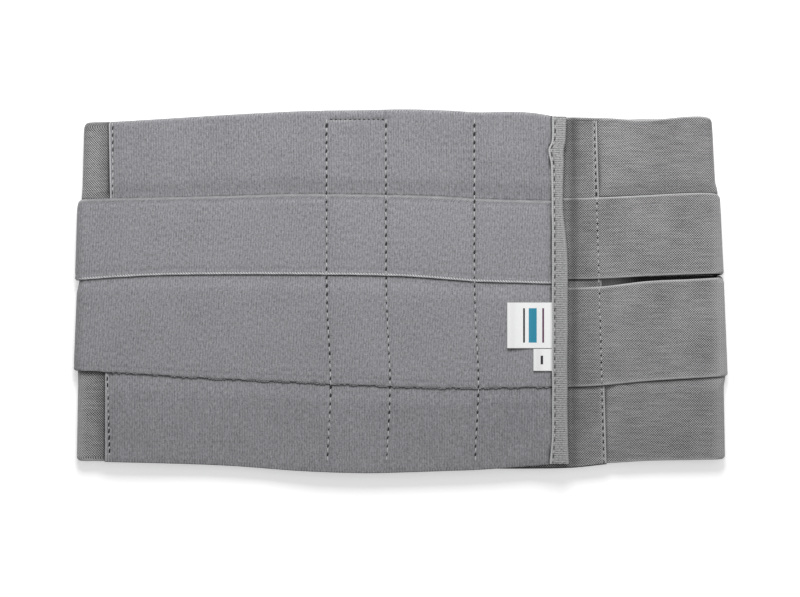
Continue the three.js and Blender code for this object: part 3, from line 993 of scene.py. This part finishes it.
def label_cloth(name, stripes, middle):
    """White satin with plain woven stripes across it, all centred at one height, in metres."""
    material, shader, weave = new_cloth(name, 0.4, 0.1)
    satin = ribs(material, weave, 0.42, "Y", 0.3)
    place = add_node(material, "SeparateXYZ", {"Vector": weave}).outputs
    colour = colour_between(material, satin, (0.88, 0.885, 0.885), (0.97, 0.972, 0.97))
    for stripe in stripes:
        across = within(material, place["X"], stripe["along"] * MM, stripe["width"] * MM)
        upright = within(material, place["Y"], middle, stripe["height"] * MM)
        share = blend_values(material, across, upright, "MULTIPLY")
        colour = mixed_colour(material, share, colour, stripe["colour"])
    colour = toned(material, weave, colour, (0.8, 0.8, 0.8), 0.5, 0.0, 0.0, 0.5)
    return finish_cloth(material, shader, colour, [(satin, 0.03)])


def label_tones(point, outside):
    """A label has painted shade along its fold, under the binding's lip and along its edges."""
    to_lip = lip_at(point["y"]) - point["x"]
    fold_shade = 0.16 * ridge(point["end_side"], 3.4, 2.2) if to_lip > 6 * MM else 0.0
    return 0.0, max(fold_shade, 0.5 * fade(to_lip, 0, 1.5), 0.5 * fade(nearest_side(point), 0.1, 0.5))


def make_label(name, node, start, top, height, lift, stripes):
    """A label from its free end, which lifts off the flap a little, to just under the binding's lip."""
    def level(x):
        free = 1 - ease(x, start, start + 16 * MM)
        return plush_face(x) + clearance + label_wall + lift * free

    lanes = []
    for share in across_shares(height, fine_rim[:6], 24):
        lane = stretch(start, lip_at(top - height * (1 - share)) + label_lap, 40, level, 1)
        lanes.append(place_across(lane, level_edge(top - height), level_edge(top), share, height))
    label = cloth_sheet(name, lanes, plain_faces(label_wall), label_tones)
    satin = label_cloth(name + "_satin", stripes, top - height / 2)
    finish_sheet(label, satin, node)


slate, teal, plum = (0.03, 0.032, 0.04), (0.035, 0.27, 0.40), (0.13, 0.05, 0.10)
# stripes of the two labels: where along the label, how wide and how high, in millimetres
square_stripes = table("along width height colour", (11.0, 1.2, 22, slate), (16.6, 5.2, 22, teal),
                       (23.4, 1.2, 22, plum))
tab_stripes = table("along width height colour", (5.6, 1.6, 5.6, slate))
make_label("square_label", "woven_label", 0.323 * half_length, -0.062 * half_height, 29.3 * MM, 1.2 * MM,
           square_stripes)
make_label("small_tab", "size_tab", 0.403 * half_length, -0.316 * half_height, 14.2 * MM, 0.5 * MM,
           tab_stripes)

# Sewing thread
# Grey polyester thread in long lock stitches: down both sides of the hook tapes, along the starts of
# plush bands 1 and 4, beside the binding's lip and through the seam at the belt's right. Where the
# thread dives into the cloth, the shade in each needle hole is painted as a dark bead between two
# pale stitches.
tape_pitch = 5.4 * MM
fine_pitch = 3.0 * MM
start_pitch = 4.6 * MM
knot_pitch = 4.2 * MM
lip_pitch = 5.2 * MM
seam_pitch = 4.4 * MM
thread_radius = 0.4 * MM
start_stitch = 2.45 * MM
thread_tops, seam_threads, needle_hole_shades = [], [], []


def thread_material(name, shade):
    material, shader, _ = new_cloth(name, 0.6, 0.1)
    place = add_node(material, "TexCoord", {}).outputs["Object"]
    twist = ribs(material, place, 0.5, "DIAGONAL", 0.4)
    colour = colour_between(material, twist, tuple(0.7 * part for part in shade), shade)
    return finish_cloth(material, shader, colour, [(twist, 0.05)])


def add_bead(beads, middle, direction, length, width, height):
    """One slim rounded bead that lies along a direction, as a stitch or as the painted shade of a needle
    hole.
    """
    turn = direction.normalized().to_track_quat("X", "Z").to_matrix().to_4x4()
    size = Matrix.Diagonal((length / 2, width / 2, height / 2, 1))
    bmesh.ops.create_uvsphere(beads, u_segments=8, v_segments=6, radius=1.0,
                              matrix=Matrix.Translation(middle) @ turn @ size)


def sew_line(threads, route, spacing, thread_share, hole_size, tacked=0):
    """Stitches along a route, with a dark bead of painted shade for the needle hole between each two.
    They wander a little; the first ones, sewn twice over where the line is tacked, have larger holes."""
    line_threads, line_hole_shades = bmesh.new(), bmesh.new()
    threads.append(line_threads)
    needle_hole_shades.append(line_hole_shades)
    carried, target, count = 0.0, spacing / 4, 0
    for start, end in zip(route, route[1:]):
        step = (end - start).length
        while carried + step >= target:
            middle = start.lerp(end, (target - carried) / step)
            drift = noise.noise(middle * 300)
            middle += Vector((0.25 * MM * drift, 0, 0))
            if count % 2:
                slant = Matrix.Rotation(-0.25 + 0.2 * drift, 3, "Z") @ (end - start)
                slow = noise.noise(middle * 35)
                size = (0.88 + 0.3 * drift + 0.5 * slow) * (1.35 if count < tacked else 1.0)
                add_bead(line_hole_shades, middle + Vector((0, 0, -0.1 * MM)), slant,
                         spacing * (1.08 - thread_share) * size, 1.35 * MM * hole_size * size, 0.5 * MM)
            else:
                add_bead(line_threads, middle, end - start, spacing * thread_share * (1 + 0.15 * drift),
                         2 * thread_radius, 1.6 * thread_radius)
            target += spacing / 2
            count += 1
        carried += step


def sew_down(threads, x_at, top, bottom, level_at, *stitches, steps=160):
    """A stitch line between two heights, given as shares of the belt's half height."""
    heights = [lerp(top * half_height, bottom * half_height, step / steps) for step in range(steps + 1)]
    sew_line(threads, [Vector((x_at(y), y, level_at(x_at(y), y))) for y in heights], *stitches)


def finish_beads(name, lines, material_name, shade):
    """Joins the beads of all the lines in one object."""
    mesh = bpy.data.meshes.new(name)
    whole = bmesh.new()
    for line in lines:
        line.to_mesh(mesh)
        whole.from_mesh(mesh)
        line.free()
    whole.to_mesh(mesh)
    whole.free()
    mesh.shade_smooth()
    piece = add_object(name, mesh)
    piece.data.materials.append(thread_material(material_name, shade))
    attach(piece, "root")


def stitch_level(x, y):
    """Height of the tapes' stitches: deep in the foam, less so where it is pinched thin over a neighbour."""
    upper, middle, lower = (half_height * smooth_table(flap_edges, "along", x / half_length, edge)
                            for edge in ("upper", "middle", "lower"))
    past_edges = [upper - y, y - middle] if y > middle else [y - lower]
    pinched = any(0 < past < band_overlap + 2.4 * MM for past in past_edges)
    return plush_face(x) - (0.42 * MM if pinched else 0.8 * line_dent)


for line in tape_lines:
    sew_down(thread_tops, lambda y: tape_line_bow(line, y), 0.943, -0.925,
             stitch_level, tape_pitch, 0.6, 1.0, 4)
tape_top_line = [Vector((lerp(tape_lines[0], tape_lines[1], step / 20), box_top,
                         plush_face(tape_lines[0]) - 0.2 * MM)) for step in range(21)]
sew_line([], tape_top_line, fine_pitch, 0.4, 0.55)
sew_down(thread_tops, lambda y: plush_start + start_stitch, 0.925, 0.53,
         lambda x, y: plush_face(x) - 0.6 * MM, start_pitch, 0.45, 0.8)
# on band 4 the line leans inwards and ends in a knot that has torn its holes wide
sew_down(thread_tops, lambda y: plush_start + 0.6 * MM - 1.6 * MM * (y / half_height + 0.925) / 0.47,
         -0.905, -0.455, lambda x, y: plush_face(x) - 0.55 * MM, knot_pitch, 0.38, 0.75, 9)
sew_down(thread_tops, lambda y: lip_at(y) + lip_stitch_mm * MM, 0.955, -0.93,
         lambda x, y: leaf_high - 0.4 * MM, lip_pitch, 0.45, 0.68)
finish_beads("thread_tops", thread_tops, "grey_thread", (0.60, 0.60, 0.61))

# tufts of pile pulled up between the stitches that close the crease between bands 3 and 4
tufts = bmesh.new()
tuft_count = 150
for step in range(tuft_count):
    x = lerp(plush_start + 1 * MM, lip_at(0) - 1 * MM, step / tuft_count)
    fullness = noise.noise(Vector((x * 330, 3.4, 1.2)))
    if fullness > -0.05:
        middle = Vector((x, flap_height_at("lower")(x, True) - 0.1 * MM, plush_face(x) - 0.75 * MM))
        add_bead(tufts, middle, Vector((1, 0.5 * fullness, 0)),
                 (2.2 + 2.4 * fullness) * MM, 1.3 * MM, 1.1 * MM)
finish_beads("pile_tufts", [tufts], "pile_tufts", (0.30, 0.296, 0.312))

# the seam at the belt's right, whose stitches sit low on the panel and high on bands 2 and 3
for top, bottom, level, thread_share, hole_size in (
        (0.94, 0.525, high_front, 0.45, 1.1), (0.51, 0.075, seamed_front, 0.7, 0.7),
        (0.07, 0.03, high_front, 0.9, 0.4), (0.015, -0.515, seamed_front, 0.6, 0.9),
        (-0.535, -0.945, high_front, 0.45, 1.05)):
    sew_down(seam_threads, lambda y: panel_edge_at(y) - 1.8 * MM, top, bottom,
             lambda x, y: level + 0.05 * MM, seam_pitch, thread_share, hole_size, steps=60)
finish_beads("seam_threads", seam_threads, "pale_thread", (0.58, 0.58, 0.59))
# dark beads: the painted shade of the needle holes
finish_beads("needle_hole_shades", needle_hole_shades, "shaded_holes", (0.025, 0.025, 0.027))

# Studio
# A plain white floor under soft, even light: a broad box above and a smaller one from beyond the belt's
# top edge. The camera looks straight down, with the belt a little above the middle of its frame.
floor_mesh = bpy.data.meshes.new("floor")
floor_grid = bmesh.new()
bmesh.ops.create_grid(floor_grid, x_segments=1, y_segments=1, size=6.0)
bmesh.ops.translate(floor_grid, verts=floor_grid.verts[:], vec=(0, 0, -0.0003))
floor_grid.to_mesh(floor_mesh)
floor_grid.free()
floor = add_object("floor", floor_mesh)
floor_paint = bpy.data.materials.new("floor_paint")
floor_paint.use_nodes = True
floor_shader = floor_paint.node_tree.nodes["Principled BSDF"]
floor_shader.inputs["Base Color"].default_value = (0.93, 0.93, 0.93, 1)
floor_shader.inputs["Roughness"].default_value = 0.9
floor_shader.inputs["Emission Color"].default_value = (1, 1, 1, 1)
floor_shader.inputs["Emission Strength"].default_value = 0.45
floor.data.materials.append(floor_paint)

world = bpy.data.worlds.new("studio")
world.use_nodes = True
world.node_tree.nodes["Background"].inputs["Color"].default_value = (1, 1, 1, 1)
world.node_tree.nodes["Background"].inputs["Strength"].default_value = 0.16
bpy.context.scene.world = world


def add_softbox(name, place, size, power):
    light = bpy.data.lights.new(name, "AREA")
    light.energy = power
    light.size = size
    lamp = add_object(name, light)
    lamp.location = place
    lamp.rotation_euler = (-Vector(place)).to_track_quat("-Z", "Y").to_euler()


add_softbox("key_softbox", (0.0, 0.66, 0.66), 0.45, 8.2)
add_softbox("fill_softbox", (0.4, 0.3, 1.7), 1.2, 6)
bpy.context.scene.view_settings.view_transform = "Standard"

photo_width_px = 800
belt_right_px, belt_up_px = 0.7, 7.3
sensor_width = 36.0
millimetres_per_pixel = 0.6392
camera_height = 1.7
camera_data = bpy.data.cameras.new("camera")
camera_data.sensor_width = sensor_width
shown_width = photo_width_px * millimetres_per_pixel * MM
camera_data.lens = sensor_width * (camera_height - plush_face(0)) / shown_width
camera = add_object("camera", camera_data)
camera.location = (-belt_right_px * millimetres_per_pixel * MM, -belt_up_px * millimetres_per_pixel * MM,
                   camera_height)
bpy.context.scene.camera = camera
